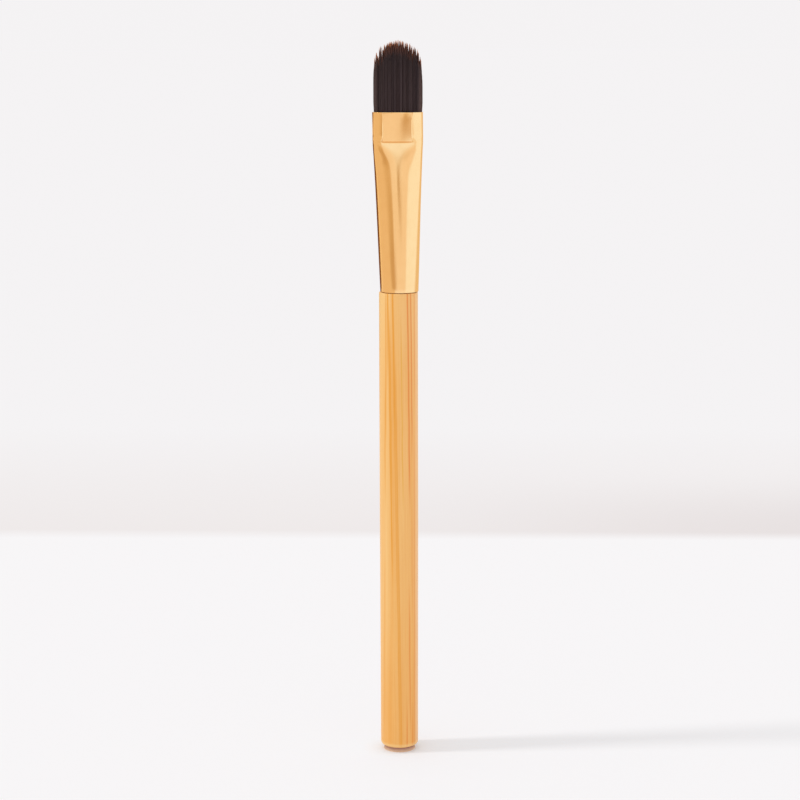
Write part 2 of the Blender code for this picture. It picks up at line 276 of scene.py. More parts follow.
# Ferrule: a drawn tube, round below and pressed flat at the mouth
ferrule = {
    "foot": 0.10775,
    "length": 0.0405,
    "wall": 0.0003,
    "rootRadius": 0.00435,
    "mouthHalfWidth": 0.00572,
    "stepHalfDepth": 0.0024,
    "mouthFlare": 0.00031,
    "widestAt": 0.0342,
    "sideHollow": 0.45,
    "kneeSoftness": 0.06,
    "tubePower": 1.9,
    "stepPower": 3.4,
    "mouthPower": 2.2,
    "squareReach": 0.0031,
    "swellDrop": 0.00015,
    "swellReach": 0.0024,
    "panelHeight": 0.00662,
    "panelHalfWidth": 0.00328,
    "panelFlare": 0.0003,
    "panelPress": 0.00062,
    "panelLean": 0.00045,
    "panelDish": 0.0002,
    "panelSide": -0.0013,
    "panelCurl": 0.00017,
    "borderWidth": 0.00016,
    "stepHeight": 0.0002,
    "edgeRounding": 0.00006,
    "footShift": 0.00022,
    "mouthShift": -0.00012,
    "around": 480,
}
ferruleTop = ferrule["foot"] + ferrule["length"]
stepAt = ferrule["length"] - ferrule["panelHeight"]


def halfWidth(height):
    share = height / ferrule["widestAt"]
    hollow = share - ferrule["sideHollow"] * share * share * (1 - share)
    spread = softLeast(hollow, 1, ferrule["kneeSoftness"])
    return mix(ferrule["rootRadius"], ferrule["mouthHalfWidth"], spread)


def halfDepth(height):
    below = max(stepAt - height, 0)
    above = max(height - stepAt, 0)
    line = mix(ferrule["stepHalfDepth"] + ferrule["swellDrop"], ferrule["rootRadius"], below / stepAt)
    swell = ferrule["swellDrop"] * math.exp(-below / ferrule["swellReach"])
    return line - swell + ferrule["mouthFlare"] * above / ferrule["panelHeight"]


def sectionPower(height):  # 2 is an ellipse, more is squarer
    below = max(stepAt - height, 0)
    tube = mix(2, ferrule["tubePower"], smooth(0, stepAt / 2, height))
    step = (ferrule["stepPower"] - ferrule["tubePower"]) * math.exp(-(below / ferrule["squareReach"]) ** 2)
    rounding = smooth(stepAt, stepAt + ferrule["panelHeight"] / 5, height)
    return tube + step - (ferrule["stepPower"] - ferrule["mouthPower"]) * rounding


def faceDepth(across, height, inset):
    power = sectionPower(height)
    out = min(abs(across) / (halfWidth(height) - inset), 1)
    return (halfDepth(height) - inset) * (1 - out ** power) ** (1 / power)


def panelBorder(rise):
    return ferrule["panelHalfWidth"] + ferrule["panelFlare"] * (2 * rise - 1) ** 4


def panelDepth(across, rise):  # a shallow dish that leans out to the mouth, more so on its right
    middle = ferrule["stepHalfDepth"] - ferrule["panelPress"] + ferrule["panelLean"] * rise
    share = (across - ferrule["panelSide"]) / panelBorder(rise)
    curl = ferrule["panelCurl"] * smooth(0.55, 1.25, share) * rise
    return middle + ferrule["panelDish"] * min(share ** 2, 2) + curl


def ferruleDepth(across, height, inset):
    face = faceDepth(across, height, inset)
    rise = min(max((height - stepAt) / ferrule["panelHeight"], 0), 1)
    edge = ferrule["borderWidth"] / 2
    step = ferrule["stepHeight"] / 2
    border = panelBorder(rise)
    inside = 1 - smooth(border - edge, border + edge, abs(across))
    pressed = min(max((height - stepAt + step) / (2 * step), 0), 1) ** 2
    return mix(face, panelDepth(across, rise) - inset, inside * pressed)


def ferrulePlace(angle, height, inset):
    x = (halfWidth(height) - inset) * math.cos(angle)
    y = math.copysign(ferruleDepth(x, height, inset), math.sin(angle))
    askew = mix(ferrule["footShift"], ferrule["mouthShift"], height / ferrule["length"])
    return Vector((x + askew, y, ferrule["foot"] + height))


def ferruleHeights():  # close together where the form turns
    reach = ferrule["swellReach"]
    half = ferrule["stepHeight"] / 2
    edge = ferrule["edgeRounding"]
    spans = ((edge, stepAt - 3 * reach, 24), (stepAt - 3 * reach, stepAt - half, 30),
             (stepAt - half, stepAt + half, 12), (stepAt + half, ferrule["length"] - edge, 24))
    heights = []
    for low, high, count in spans:
        heights += [mix(low, high, i / count) for i in range(count)]
    return heights


def ferruleOutline():  # (height, inset) up the outside, over the rim, down the inside
    edge = ferrule["edgeRounding"]
    top = ferrule["length"]
    wall = ferrule["wall"]
    turns = [math.radians(angle) for angle in (0, 22.5, 45, 67.5, 90)]
    outline = [(edge * (1 - math.sin(t)), edge * (1 - math.cos(t))) for t in reversed(turns[1:])]
    outline += [(height, 0) for height in ferruleHeights()]
    outline += [(top - edge * (1 - math.cos(t)), edge * (1 - math.sin(t))) for t in reversed(turns)]
    outline += [(top - edge * (1 - math.cos(t)), wall - edge * (1 - math.sin(t))) for t in turns]
    outline += [(height, wall) for height in reversed(ferruleHeights()[1::2])]
    outline += [(edge * (1 - math.sin(t)), wall - edge * (1 - math.cos(t))) for t in turns]
    return outline


def makeFerrule(material):
    bm = bmesh.new()
    angle = bm.verts.layers.float.new("angle")
    ring = bmesh.ops.create_circle(bm, segments=ferrule["around"], radius=1)["verts"]
    for vert in ring:
        vert[angle] = math.atan2(vert.co.y, vert.co.x)
    firstEdges = list(bm.edges)
    edges = firstEdges
    outline = ferruleOutline()
    for i, (height, inset) in enumerate(outline):
        if i:
            grown = bmesh.ops.extrude_edge_only(bm, edges=edges)["geom"]
            ring = [part for part in grown if isinstance(part, bmesh.types.BMVert)]
            edges = [part for part in grown if isinstance(part, bmesh.types.BMEdge)]
        for vert in ring:
            vert.co = ferrulePlace(vert[angle], height, inset)
    bmesh.ops.bridge_loops(bm, edges=firstEdges + edges)
    bmesh.ops.recalc_face_normals(bm, faces=bm.faces)
    finishPiece("ferruleTube", bm, material, "ferrule", 60)


# Handle: a turned bamboo stick with a tenon that goes up into the ferrule
handle = {
    "length": 0.1076,
    "topRadius": 0.00443,
    "middleRadius": 0.00446,
    "footRadius": 0.00438,
    "footRounding": 0.0008,
    "shoulderRounding": 0.00018,
    "tenonLength": 0.0100,
    "tenonChamfer": 0.0005,
    "glueSpace": 0.00045,
    "grooves": 2,
    "grooveWidth": 0.0012,
    "grooveDepth": 0.0003,
    "footSteps": 12,
    "bodySteps": 10,
    "shoulderSteps": 6,
    "around": 144,
}


def tenonRadius(height):
    root = halfDepth(0) - ferrule["wall"] - handle["glueSpace"]
    end = halfDepth(handle["tenonLength"]) - ferrule["wall"] - handle["glueSpace"]
    return mix(root, end, height / handle["tenonLength"])


def handleOutline():  # (radius, z) from the middle of the foot up to the middle of the tenon
    length = handle["length"]
    foot = handle["footRounding"]
    shoulder = handle["shoulderRounding"]
    outline = [(0, 0), (handle["footRadius"] - foot, 0)]
    for i in range(1, handle["footSteps"] + 1):
        turn = math.pi / 2 * i / handle["footSteps"]
        outline.append((handle["footRadius"] - foot * (1 - math.sin(turn)), foot * (1 - math.cos(turn))))
    steps = handle["bodySteps"]
    for i in range(1, steps):
        outline.append((mix(handle["footRadius"], handle["middleRadius"], i / steps),
                        mix(foot, length / 2, i / steps)))
    for i in range(steps):
        outline.append((mix(handle["middleRadius"], handle["topRadius"], i / steps),
                        mix(length / 2, length - shoulder, i / steps)))
    for i in range(handle["shoulderSteps"] + 1):
        turn = math.pi / 2 * i / handle["shoulderSteps"]
        outline.append((handle["topRadius"] - shoulder * (1 - math.cos(turn)),
                        length - shoulder * (1 - math.sin(turn))))
    outline.append((tenonRadius(0), length))
    for i in range(handle["grooves"]):
        middle = handle["tenonLength"] * (i + 1) / (handle["grooves"] + 1)
        for offset, depth in ((-0.5, 0), (-0.2, 1), (0.2, 1), (0.5, 0)):
            height = middle + offset * handle["grooveWidth"]
            outline.append((tenonRadius(height) - depth * handle["grooveDepth"], length + height))
    chamfer = handle["tenonChamfer"]
    outline.append((tenonRadius(handle["tenonLength"]), length + handle["tenonLength"] - chamfer))
    outline.append((tenonRadius(handle["tenonLength"]) - chamfer, length + handle["tenonLength"]))
    outline.append((0, length + handle["tenonLength"]))
    return outline


def makeHandle(material):
    bm = bmesh.new()
    verts = [bm.verts.new((radius, 0, z)) for radius, z in handleOutline()]
    edges = [bm.edges.new(pair) for pair in zip(verts, verts[1:])]
    bmesh.ops.spin(bm, geom=verts + edges, cent=(0, 0, 0), axis=(0, 0, 1), angle=math.tau,
                   steps=handle["around"], use_merge=True)
    bmesh.ops.remove_doubles(bm, verts=bm.verts, dist=1e-7)
    bmesh.ops.recalc_face_normals(bm, faces=bm.faces)
    finishPiece("bambooStick", bm, material, "bamboo_handle", 40)


# Tuft: thousands of tapered filaments in small clumps
tuft = {
    "rootDepth": 0.0013,
    "rootClearance": 0.0001,
    "height": 0.01606,
    "dome": 0.0065,
    "faceDrop": 0.0009,
    "spacing": 0.000096,
    "jitter": 0.000024,
    "thickness": 0.000054,
    "bellyHalfWidth": 0.00549,
    "bellyHalfDepth": 0.00195,
    "tipHalfDepth": 0.0006,
    "bellyAt": 0.30,
    "drawEarly": 0.6,
    "lean": -0.00002,
    "leanFrom": 0.15,
    "wave": 0.00003,
    "waveTurn": 2.2,
    "lengthScatter": 0.00032,
    "clumpColumns": 18,
    "clumpRows": 5,
    "clumpScatter": 0.00014,
    "clumpRise": 0.00016,
    "clumpPull": 0.72,
    "clumpFrom": 0.84,
    "clumpPoint": 0.0005,
    "clumpReach": 0.0003,
    "clumpSpread": 1.3,
    "strayShare": 0.015,
    "stray": 0.00010,
    "skin": 0.00045,
    "slimFrom": 0.6,
    "slimTo": 1.08,
    # where the pale fringe fades through the depth, and where the painted side light on the outline begins
    # across
    "fringeRange": (0.25, 0.75),
    "sideLightRange": (0.80, 0.96),
    # the painted side light is weaker on the left
    "leftSideLight": 0.55,
    "seed": 11,
    # where the outline parts, or stands up where the depth is negative: place across, depth, width
    "notches": ((-0.00416, 0.0018, 0.00022), (-0.00344, 0.0018, 0.00024), (0.0032, 0.0017, 0.00019),
                (-0.0046, -0.0004, 0.0003), (-0.00376, -0.0009, 0.0003), (0.0036, -0.0004, 0.0003),
                (0.0042, -0.0004, 0.0008), (-0.0051, -0.0005, 0.0007)),
    "outerRings": (0.12, 0.34, 0.55, 0.68, 0.78, 0.86, 0.92, 0.97),
    "innerRings": (0.34, 0.66, 0.80, 0.90, 0.97),
}
rootClearance = ferrule["wall"] + tuft["rootClearance"]
rootHeight = ferruleTop - tuft["rootDepth"]
rootAt = rootHeight - ferrule["foot"]
rootReach = panelDepth(0, (rootAt - stepAt) / ferrule["panelHeight"]) - rootClearance


def rootHalfWidth(depth):
    power = sectionPower(rootAt)
    share = min(abs(depth) / (halfDepth(rootAt) - rootClearance), 1)
    return (halfWidth(rootAt) - rootClearance) * (1 - share ** power) ** (1 / power)


def clumpCentres(scatter):
    centres = []
    for row in range(tuft["clumpRows"]):
        y = mix(-rootReach, rootReach, (row + 0.5) / tuft["clumpRows"])
        for column in range(tuft["clumpColumns"]):
            shift = 0.25 if row % 2 else -0.25
            x = mix(-1, 1, (column + 0.5 + shift) / tuft["clumpColumns"]) * rootHalfWidth(y)
            x += scatter.uniform(-1, 1) * tuft["clumpScatter"]
            rise = scatter.uniform(-1, 1) * tuft["clumpRise"]
            centres.append((Vector((x, y, 0)), rise, scatter.uniform(0.75, 1.25)))
    return centres


def filamentRoots(scatter):  # a jittered grid over the mouth
    roots = []
    rows = round(2 * rootReach / tuft["spacing"])
    for row in range(rows):
        y = mix(-rootReach, rootReach, (row + 0.5) / rows)
        reach = rootHalfWidth(y) - tuft["thickness"]
        columns = round(reach / tuft["spacing"])
        for column in range(-columns, columns + 1):
            x = (column + 0.25 * (-1) ** row) * tuft["spacing"] + scatter.uniform(-1, 1) * tuft["jitter"]
            roots.append(Vector((x, y + scatter.uniform(-1, 1) * tuft["jitter"], 0)))
    return roots


def spreadPlace(root, share):  # the bundle spreads to its belly, then draws in to the tip
    spread = min(share / tuft["bellyAt"], 1)
    draw = max(share - tuft["bellyAt"], 0) / (1 - tuft["bellyAt"])
    wider = mix(1, tuft["bellyHalfWidth"] / rootHalfWidth(0), spread)
    belly = tuft["bellyHalfDepth"] / rootReach
    deeper = mix(mix(1, belly, smooth(0, 1, spread)), tuft["tipHalfDepth"] / rootReach,
                 draw * mix(tuft["drawEarly"], 1, draw))
    lean = tuft["lean"] * smooth(0, tuft["leanFrom"], share)
    return Vector((root.x * wider + lean, root.y * deeper, 0))


def planFilaments():
    scatter = random.Random(tuft["seed"])
    centres = clumpCentres(scatter)
    filaments = []
    for root in filamentRoots(scatter):
        middle, rise, size = min(centres, key=lambda centre: (centre[0] - root).length)
        across = min(abs(root.x) / rootHalfWidth(0), 1)
        dome = tuft["dome"] * (1 - math.sqrt(1 - across * across))
        drop = tuft["faceDrop"] * (root.y / rootReach) ** 2
        off = min((root - middle).length / tuft["clumpReach"], tuft["clumpSpread"])
        point = tuft["clumpPoint"] * size * off ** 2
        notch = sum(deep * max(1 - abs(root.x - at) / wide, 0) for at, deep, wide in tuft["notches"])
        if any(deep > 0 and (root.x - at) * (middle.x - at) < 0 for at, deep, wide in tuft["notches"]):
            middle = root
        whole = tuft["height"] + ferruleTop - rootHeight - dome - drop
        length = whole + rise - point - notch + tuft["lengthScatter"] * scatter.uniform(-0.6, 0.4)
        turn = scatter.uniform(0, math.tau)
        stray = tuft["stray"] if scatter.random() < tuft["strayShare"] else 0
        wave = Vector((math.cos(turn), math.sin(turn), 0)) * (tuft["wave"] + stray)
        inside = min(rootReach - abs(root.y), rootHalfWidth(root.y) - abs(root.x))
        # outline filaments lighter: painted side light, weaker on the left
        edge = smooth(*tuft["sideLightRange"], across) * (1 if root.x > 0 else tuft["leftSideLight"])
        filaments.append({"root": root, "middle": middle, "length": length, "whole": whole, "wave": wave,
                          "turn": scatter.uniform(0, math.tau), "shade": scatter.random(),
                          "thick": tuft["thickness"] * scatter.uniform(0.85, 1.15),
                          "fringe": 1 - smooth(*tuft["fringeRange"], abs(root.y) / rootReach),
                          "edge": edge, "outer": inside < tuft["skin"]})
    return filaments


def filamentPlace(filament, share):
    reach = share * min(filament["length"] / filament["whole"], 1)
    place = spreadPlace(filament["root"], reach)
    pull = tuft["clumpPull"] * smooth(tuft["clumpFrom"], 1, share)
    place += (spreadPlace(filament["middle"], reach) - place) * pull
    place += filament["wave"] * share * math.sin(tuft["waveTurn"] * share + filament["turn"])
    place.z = rootHeight + filament["length"] * share
    return place


def slimness(share):  # the share of its full thickness that a filament has along its length
    return math.sqrt(1 - smooth(tuft["slimFrom"], tuft["slimTo"], share))


def makeFilaments(name, filaments, rings, material):
    bm = bmesh.new()
    number = bm.faces.layers.int.new("number")
    looks = {label: bm.verts.layers.float.new(label) for label in ("shade", "fringe", "edge")}
    along = bm.verts.layers.float.new("along")
    for i, filament in enumerate(filaments):
        foot = filamentPlace(filament, 0)
        corners = []
        for side in range(3):
            turn = filament["turn"] + math.tau * side / 3
            corner = bm.verts.new(foot + Vector((math.cos(turn), math.sin(turn), 0)) * filament["thick"])
            for label, layer in looks.items():
                corner[layer] = filament[label]
            corners.append(corner)
        bm.faces.new(corners)[number] = i
    faces = list(bm.faces)
    before = 0
    for share in rings:
        faces = bmesh.ops.extrude_discrete_faces(bm, faces=faces)["faces"]
        slim = slimness(share) / slimness(before)
        for face in faces:
            filament = filaments[face[number]]
            middle = face.calc_center_median()
            place = filamentPlace(filament, share)
            for vert in face.verts:
                vert.co = place + (vert.co - middle) * slim
                vert[along] = share
        before = share
    for vert in bmesh.ops.poke(bm, faces=faces)["verts"]:  # the points of the tips
        filament = filaments[vert.link_faces[0][number]]
        vert.co = filamentPlace(filament, 1)
        vert[along] = 1
        for label, layer in looks.items():
            vert[layer] = filament[label]
    bmesh.ops.edgeloop_fill(bm, edges=[part for part in bm.edges if part.is_boundary])
    bmesh.ops.recalc_face_normals(bm, faces=bm.faces)
    finishPiece(name, bm, material, "bristle_tuft", 80)


# Binding thread: three plies round the waist of the roots
thread = {
    "belowSwell": 0.0044,
    "pitch": 0.0010,
    "turns": 4,
    "inset": 0.0008,
    "flatness": 3,
    "plies": 3,
    "plyOffset": 0.000125,
    "plyRadius": 0.000118,
    "twist": 0.0011,
    "steps": 96,
}


def makeThread(material):
    start = stepAt - ferrule["swellReach"] - thread["belowSwell"]
    path = []
    for i in range(thread["turns"] * thread["steps"] + 1):
        turn = i / thread["steps"]
        path.append(ferrulePlace(math.pi / 2 + math.tau * turn, start + thread["pitch"] * turn,
                                 thread["inset"]))
    bm = bmesh.new()
    for ply in range(thread["plies"]):
        curve = bpy.data.curves.new("ply", "CURVE")
        curve.dimensions = "3D"
        curve.bevel_depth = thread["plyRadius"]
        curve.bevel_resolution = 1
        curve.use_fill_caps = True
        spline = curve.splines.new("POLY")
        spline.points.add(len(path) - 1)
        gone = 0
        for i, place in enumerate(path):
            ahead = path[min(i + 1, len(path) - 1)] - path[max(i - 1, 0)]
            gone += (place - path[max(i - 1, 0)]).length
            outward = Vector((place.x, place.y * thread["flatness"], 0)).normalized()
            upward = ahead.cross(outward).normalized()
            outward = upward.cross(ahead).normalized()
            turn = math.tau * (gone / thread["twist"] + ply / thread["plies"])
            offset = (outward * math.cos(turn) + upward * math.sin(turn)) * thread["plyOffset"]
            spline.points[i].co = (*(place + offset), 1)
        obj = bpy.data.objects.new("ply", curve)
        mesh = bpy.data.meshes.new_from_object(obj)
        bm.from_mesh(mesh)
        bpy.data.objects.remove(obj)
    bmesh.ops.remove_doubles(bm, verts=bm.verts, dist=1e-7)
    bmesh.ops.recalc_face_normals(bm, faces=bm.faces)
    finishPiece("pliedThread", bm, material, "binding_thread", 60)


# Materials of the brush
gold = {
    "colour": (0.85, 0.52, 0.215, 1),
    "deep": (0.82, 0.48, 0.185, 1),
    "roughness": 0.11,
    "roughnessSpread": 0.04,
}


def makeGold():
    material, tree, shader = newMaterial("goldMetal", **{"Metallic": 1.0})
    drawn = useGroup(tree, longGrain, Across=9, Along=0.15, Soft=0.2, Seed=1)["Grain"]
    patch = useGroup(tree, mottle, Size=2.2, Soft=0.2)["Patch"]
    tint = blendColours(tree, maths(tree, "MULTIPLY", patch, 0.5), gold["colour"], gold["deep"])
    tree.links.new(tint, shader.inputs["Base Color"])
    wear = maths(tree, "MULTIPLY", maths(tree, "ADD", drawn, patch), gold["roughnessSpread"] / 2)
    tree.links.new(maths(tree, "ADD", wear, gold["roughness"]), shader.inputs["Roughness"])
    bump = addNode(tree, "Bump", {"Height": drawn, "Strength": 0.06, "Distance": 0.00001})
    tree.links.new(bump.outputs[0], shader.inputs["Normal"])
    return material


bamboo = {
    "pale": (0.95, 0.555, 0.188, 1),
    "middle": (0.90, 0.45, 0.110, 1),
    "deep": (0.86, 0.37, 0.070, 1),
    # pale colour: the paler tone of the top of the stick, and also painted sheen down its left side and a
    # painted highlight on the rounding of its foot
    "paleAndSheen": (0.99, 0.70, 0.31, 1),
    # rosy tone along the right edge of the stick as the camera sees it: painted sheen
    "roseSheen": (0.95, 0.58, 0.31, 1),
    # bands up the stick in millimetres, or round it in degrees, and how strongly each shows
    "topBand": ((85, 108), (130, 140)),
    "footBand": ((-2, -1), (2, 45)),
    # the left side, lighter where the light falls on it: painted sheen
    "leftSheenBand": ((-105, -72), (-36, -14)),
    "leftSheenUp": ((4, 40), (130, 140)),
    # where the painted rosy sheen lies round the stick
    "roseSheenBand": ((52, 72), (82, 104)),
    # the lower rounding of the foot made paler: painted highlight
    "rimGlintBand": ((0.05, 0.2), (0.55, 1.3)),
    "bandStrength": {"top": 0.22, "foot": 0.22, "left": 0.30, "roseSheen": 0.6, "rim": 0.5},
    "fineStrength": 0.40,
    "dashStrength": 0.35,
    "dashPower": 4,
    "roughness": 0.36,
    "roughnessSpread": 0.12,
    "streakSpread": 1.6,
    "streakColours": {"amber": (0.84, 0.34, 0.030, 1), "orange": (0.81, 0.25, 0.035, 1),
                      "olive": (0.85, 0.41, 0.050, 1), "salmon": (0.88, 0.36, 0.140, 1)},
    # colour, degrees from the camera's side, slant for each 100 mm of height, half width in degrees,
    # low end, high end, strength
    "streaks": (
        ("amber", 1.6, -17.7, 3.0, 76, 112, 1.00),
        ("amber", 1.6, -17.7, 2.8, -10, 84, 0.60),
        ("amber", 6.2, -17.3, 2.3, -10, 90, 0.70),
        ("amber", -12.3, -19.2, 2.4, 44, 112, 0.95),
        ("amber", -10.0, -17.5, 2.1, 62, 100, 0.85),
        ("amber", -46.0, 5, 2.6, 76, 108, 0.80),
        ("amber", -38.0, 3, 2.1, 90, 112, 0.70),
        ("amber", -45.0, 0, 2.6, 62, 84, 0.70),
        ("amber", -57.0, 20, 3.6, 4, 44, 0.40),
        ("olive", 21.6, -14.7, 2.3, 60, 98, 0.80),
        ("orange", 43.0, -14.5, 2.8, 62, 112, 1.00),
        ("orange", 36.0, -12.6, 2.6, 6, 36, 0.70),
        ("orange", 52.8, -13, 2.5, 74, 112, 1.00),
        ("orange", 44.0, -3, 2.4, 34, 56, 0.40),
        ("orange", 54.0, 0, 2.6, 84, 112, 0.60),
        ("orange", 53.0, 0, 3.0, -10, 74, 0.50),
        ("orange", 23.5, 0, 2.4, -10, 8, 0.85),
        ("orange", 44.0, 0, 3.0, -10, 8, 0.75),
        ("orange", -96.0, 4, 2.5, 20, 112, 0.60),
        ("olive", -128.0, -6, 3.0, -10, 80, 0.60),
        ("amber", -162.0, 8, 3.0, 10, 112, 0.70),
        ("orange", 172.0, -4, 2.4, -10, 60, 0.60),
        ("salmon", 140.0, 6, 6.0, 30, 112, 0.55),
        ("amber", 112.0, -10, 2.6, -10, 90, 0.65),
    ),
}


def makeBamboo():
    material, tree, shader = newMaterial("satinBamboo", **{"Specular IOR Level": 0.3, "Coat Weight": 0.06,
                                                           "Coat Roughness": 0.25})
    broad = useGroup(tree, longGrain, Across=0.45, Along=0.012, Soft=0.16, Seed=3)["Grain"]
    fine = useGroup(tree, longGrain, Across=4.5, Along=0.03, Soft=0.16, Seed=5)["Grain"]
    hair = useGroup(tree, longGrain, Across=11, Along=0.09, Soft=0.12, Seed=8)["Grain"]
    colour = blendColours(tree, broad, bamboo["pale"], bamboo["middle"])
    fibres = maths(tree, "MULTIPLY", fine, bamboo["fineStrength"])
    colour = blendColours(tree, fibres, colour, bamboo["deep"])
    dashes = maths(tree, "POWER", hair, bamboo["dashPower"])
    dashes = maths(tree, "MULTIPLY", dashes, bamboo["dashStrength"])
    colour = blendColours(tree, dashes, colour, bamboo["deep"])
    around = useGroup(tree, compass)
    angle, height = around["Angle"], around["Height"]
    strengths = bamboo["bandStrength"]
    top = maths(tree, "MULTIPLY", windowMask(tree, height, bamboo["topBand"]), strengths["top"])
    colour = blendColours(tree, top, colour, bamboo["paleAndSheen"])
    foot = maths(tree, "MULTIPLY", windowMask(tree, height, bamboo["footBand"]), strengths["foot"])
    colour = blendColours(tree, foot, colour, bamboo["deep"])
    # the left side made paler: painted sheen
    left = maths(tree, "MULTIPLY", windowMask(tree, angle, bamboo["leftSheenBand"]),
                 windowMask(tree, height, bamboo["leftSheenUp"]))
    colour = blendColours(tree, maths(tree, "MULTIPLY", left, strengths["left"]), colour, bamboo["paleAndSheen"])
    # painted rosy sheen along the right edge
    roseSheen = maths(tree, "MULTIPLY", windowMask(tree, angle, bamboo["roseSheenBand"]), strengths["roseSheen"])
    colour = blendColours(tree, roseSheen, colour, bamboo["roseSheen"])
    for shade, at, slant, width, low, high, strength in bamboo["streaks"]:
        mask = useGroup(tree, fibreStreak, Angle=angle, Height=height, At=at + camera["turn"],
                        Slant=slant, Width=width * bamboo["streakSpread"], Low=low, High=high)["Mask"]
        colour = blendColours(tree, maths(tree, "MULTIPLY", mask, strength), colour,
                              bamboo["streakColours"][shade])
    # painted highlight on the rounding of the foot
    rim = maths(tree, "MULTIPLY", windowMask(tree, height, bamboo["rimGlintBand"]), strengths["rim"])
    colour = blendColours(tree, rim, colour, bamboo["paleAndSheen"])
    tree.links.new(colour, shader.inputs["Base Color"])
    rough = maths(tree, "MULTIPLY", fine, bamboo["roughnessSpread"])
    rough = maths(tree, "ADD", rough, bamboo["roughness"])
    tree.links.new(rough, shader.inputs["Roughness"])
    bump = addNode(tree, "Bump", {"Height": maths(tree, "ADD", fine, hair), "Strength": 0.25,
                                  "Distance": 0.00002})
    tree.links.new(bump.outputs[0], shader.inputs["Normal"])
    return material


bristle = {
    "dark": (0.046, 0.0275, 0.0275, 1),
    "brown": (0.066, 0.042, 0.040, 1),
    # lighter brown for the filaments on the outline: painted side light
    "edge": (0.15, 0.095, 0.085, 1),
    "warm": (0.105, 0.042, 0.030, 1),
    # the rust and pale tips are the filaments' own tip colour, and where the fringe keeps them to the
    # outline they also stand in for light through the thin tips: partly painted light
    "rust": (0.46, 0.15, 0.065, 1),
    "paleTip": (0.86, 0.44, 0.24, 1),
    # how far up a filament each tip colour begins and is full
    "warmRange": (0.85, 0.97),
    "rustRange": (0.92, 0.98),
    "paleRange": (0.965, 1.0),
    "unevenness": 0.035,
    # the filaments are darker from the first of these shares of their length to the second
    "deepRange": (0.35, 0.85),
    "deepen": 0.8,
    "roughness": 0.45,
    "roughnessSpread": 0.2,
}


def makeBristle():
    material, tree, shader = newMaterial("darkFilament", **{"Specular IOR Level": 0.12})
    shade, along, fringe, edge = (addNode(tree, "Attribute", attribute_name=label).outputs["Fac"]
                                  for label in ("shade", "along", "fringe", "edge"))
    grain = useGroup(tree, longGrain, Across=2.5, Along=0.1, Soft=0.2, Seed=2)["Grain"]
    strand = useGroup(tree, longGrain, Across=6, Along=0.07, Soft=0.16, Seed=6)["Grain"]
    colour = blendColours(tree, maths(tree, "MULTIPLY", shade, strand), bristle["dark"], bristle["brown"])
    # the outline's filaments lighter: painted side light
    colour = blendColours(tree, edge, colour, bristle["edge"])
    deep = remap(tree, along, *bristle["deepRange"], 1, bristle["deepen"], curve="LINEAR")
    colour = scaleColour(tree, colour, deep)
    both = maths(tree, "SUBTRACT", maths(tree, "ADD", shade, maths(tree, "MULTIPLY", grain, 2)), 1.5)
    uneven = maths(tree, "ADD", along, maths(tree, "MULTIPLY", both, bristle["unevenness"]))
    colour = blendColours(tree, remap(tree, uneven, *bristle["warmRange"]), colour, bristle["warm"])
    # rust and pale tips: own tip colour, and along the outline also painted light through the thin tips
    rust = maths(tree, "MULTIPLY", remap(tree, uneven, *bristle["rustRange"]), fringe)
    colour = blendColours(tree, rust, colour, bristle["rust"])
    pale = maths(tree, "MULTIPLY", remap(tree, uneven, *bristle["paleRange"]), fringe)
    colour = blendColours(tree, pale, colour, bristle["paleTip"])
    tree.links.new(colour, shader.inputs["Base Color"])
    rough = maths(tree, "MULTIPLY", shade, bristle["roughnessSpread"])
    rough = maths(tree, "ADD", rough, bristle["roughness"])
    tree.links.new(rough, shader.inputs["Roughness"])
    return material


hidden = {
    "resin": {"light": (0.50, 0.34, 0.17, 1), "dark": (0.20, 0.12, 0.07, 1), "patch": 0.5, "rough": 0.24},
    "glue": {"light": (0.80, 0.66, 0.38, 1), "dark": (0.62, 0.46, 0.22, 1), "patch": 1.1, "rough": 0.30},
    "cotton": {"light": (0.82, 0.78, 0.70, 1), "dark": (0.62, 0.56, 0.46, 1), "patch": 0.12, "rough": 0.85},
}


def makeHidden(name):
    settings = hidden[name]
    material, tree, shader = newMaterial(name)
    patch = useGroup(tree, mottle, Size=settings["patch"], Soft=0.18)["Patch"]
    fine = useGroup(tree, mottle, Size=settings["patch"] / 5, Soft=0.14)["Patch"]
    both = maths(tree, "MULTIPLY", maths(tree, "ADD", patch, fine), 0.5)
    colour = blendColours(tree, both, settings["light"], settings["dark"])
    tree.links.new(colour, shader.inputs["Base Color"])
    rough = maths(tree, "ADD", maths(tree, "MULTIPLY", fine, 0.15), settings["rough"])
    tree.links.new(rough, shader.inputs["Roughness"])
    bump = addNode(tree, "Bump", {"Height": fine, "Strength": 0.4, "Distance": 0.00004})
    tree.links.new(bump.outputs[0], shader.inputs["Normal"])
    return material


# Studio: table, putty dot with its painted shade, lamp, world and the cards that the metal mirrors, turned
# with the camera
table = {
    "height": -0.00108,
    "size": 60,
    "backEdgeSlant": 0.0275,
    # screen colours of the floor, the foot of the wall, darkened there with painted shade, and the wall,
    # and how far behind the brush the floor ends, the foot of the wall begins and it has faded into the
    # wall
    "floorColour": (247.5, 245.5, 246.5),
    "wallFootShadeColour": (239, 234, 233.5),
    "wallColour": (244.5, 242.5, 243.5),
    "wallBehind": (0.207, 0.219, 0.405),
    "wallReach": (0.2, 0.5),
    # the wall is a little darker low down on the right
    "shade": (0.93, 0.915, 0.915),
    "shadeBehind": ((0.207, 0.219), (0.225, 0.32)),
    "shadeSide": ((-0.03, 0.16), (2, 3)),
    # the floor is painted cooler near the foot, to take out warm light that the bamboo bounces onto it:
    # painted light
    "cool": (1.0, 1.07, 1.125),
    "coolReach": 0.0065,
    "coolSide": -0.003,
}


